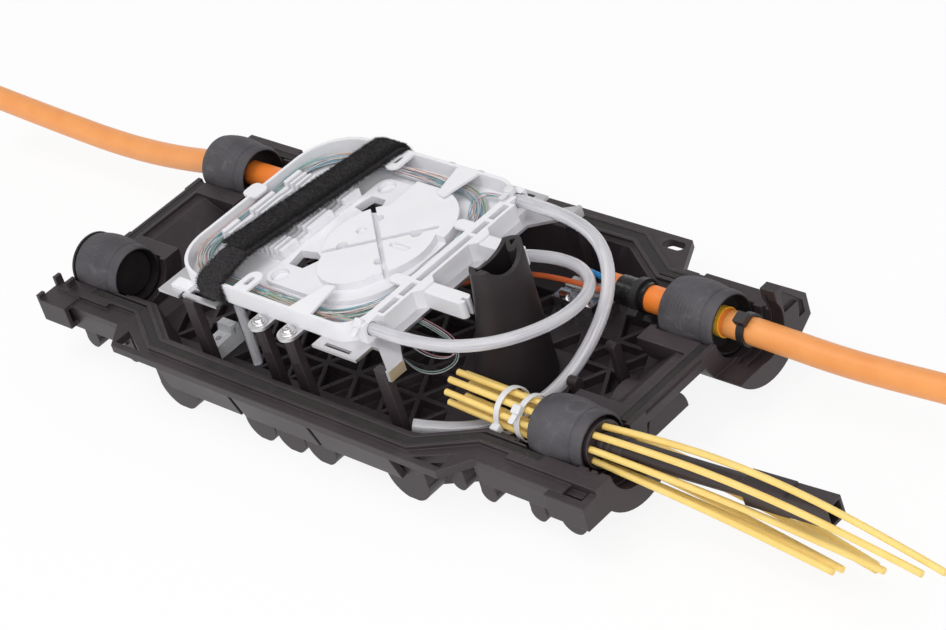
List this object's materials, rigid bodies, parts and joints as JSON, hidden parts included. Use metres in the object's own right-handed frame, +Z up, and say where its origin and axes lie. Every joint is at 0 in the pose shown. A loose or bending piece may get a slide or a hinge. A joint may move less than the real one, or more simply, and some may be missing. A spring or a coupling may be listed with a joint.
{
  "type": "inline splice closure",
  "caption": "Open lower half of an inline cable splice closure: ribbed tub with rubber port seals, a strapped splice tray on a bracket, a trunk cable through it and drop cords.",
  "frame": {"origin": "on the ground under the middle of the shell, halfway between the four ports", "axes": "+X along the cables towards the drop cords, +Y to the rear row of ports, +Z up"},
  "size_m": [0.6987, 0.174, 0.082],
  "materials": {
    "shell": "matte moulded",
    "plug": "matte moulded",
    "seal_rubber": "dull",
    "gasket": "dull",
    "tray": "satin",
    "bracket": "satin",
    "screw": "bright",
    "clamp": "satin",
    "strap": "napped",
    "cable": "satin",
    "drop": "satin",
    "white_tie": "satin",
    "black_tie": "satin",
    "marker": "satin",
    "clear_tube": "clear",
    "orange_tube": "satin",
    "blue_tube": "satin",
    "fibre": "satin",
    "nylon": "satin"
  },
  "bodies": {
    "root": {"base_shell": "shell", "centre_tower": "shell", "relief_arm": "shell", "drop_insert": "shell", "blank_plug": "plug", "front_left_seal": "seal_rubber", "rear_left_seal": "seal_rubber", "front_right_seal": "seal_rubber", "rear_right_seal": "seal_rubber", "gasket_front": "gasket", "gasket_rear": "gasket", "gasket_left": "gasket", "gasket_right": "gasket", "splice_tray": "tray", "splice_holder": "tray", "tray_bracket": "bracket", "bracket_screws": "screw", "clamp_screws": "screw", "strength_clamp": "clamp", "strength_member": "clamp", "tray_strap": "strap", "trunk_cable_left": "cable", "trunk_cable_right": "cable", "left_sheath": "cable", "right_sheath": "cable", "drop_stubs": "drop", "drop_cord_1": "drop", "drop_cord_2": "drop", "drop_cord_3": "drop", "drop_cord_4": "drop", "drop_cord_5": "drop", "drop_cord_6": "drop", "drop_cord_7": "drop", "drop_cord_8": "drop", "drop_tie_outer": "white_tie", "drop_tie_inner": "white_tie", "cable_tie": "black_tie", "tape_band": "black_tie", "sheath_tie": "black_tie", "marker_band": "marker", "transport_tube_rear": "clear_tube", "transport_tube_front": "clear_tube", "spare_tube": "clear_tube", "loose_tube_orange": "orange_tube", "loose_tube_blue": "blue_tube", "fibre_coil": "fibre", "tie_mount": "nylon"}
  },
  "joints": []
}
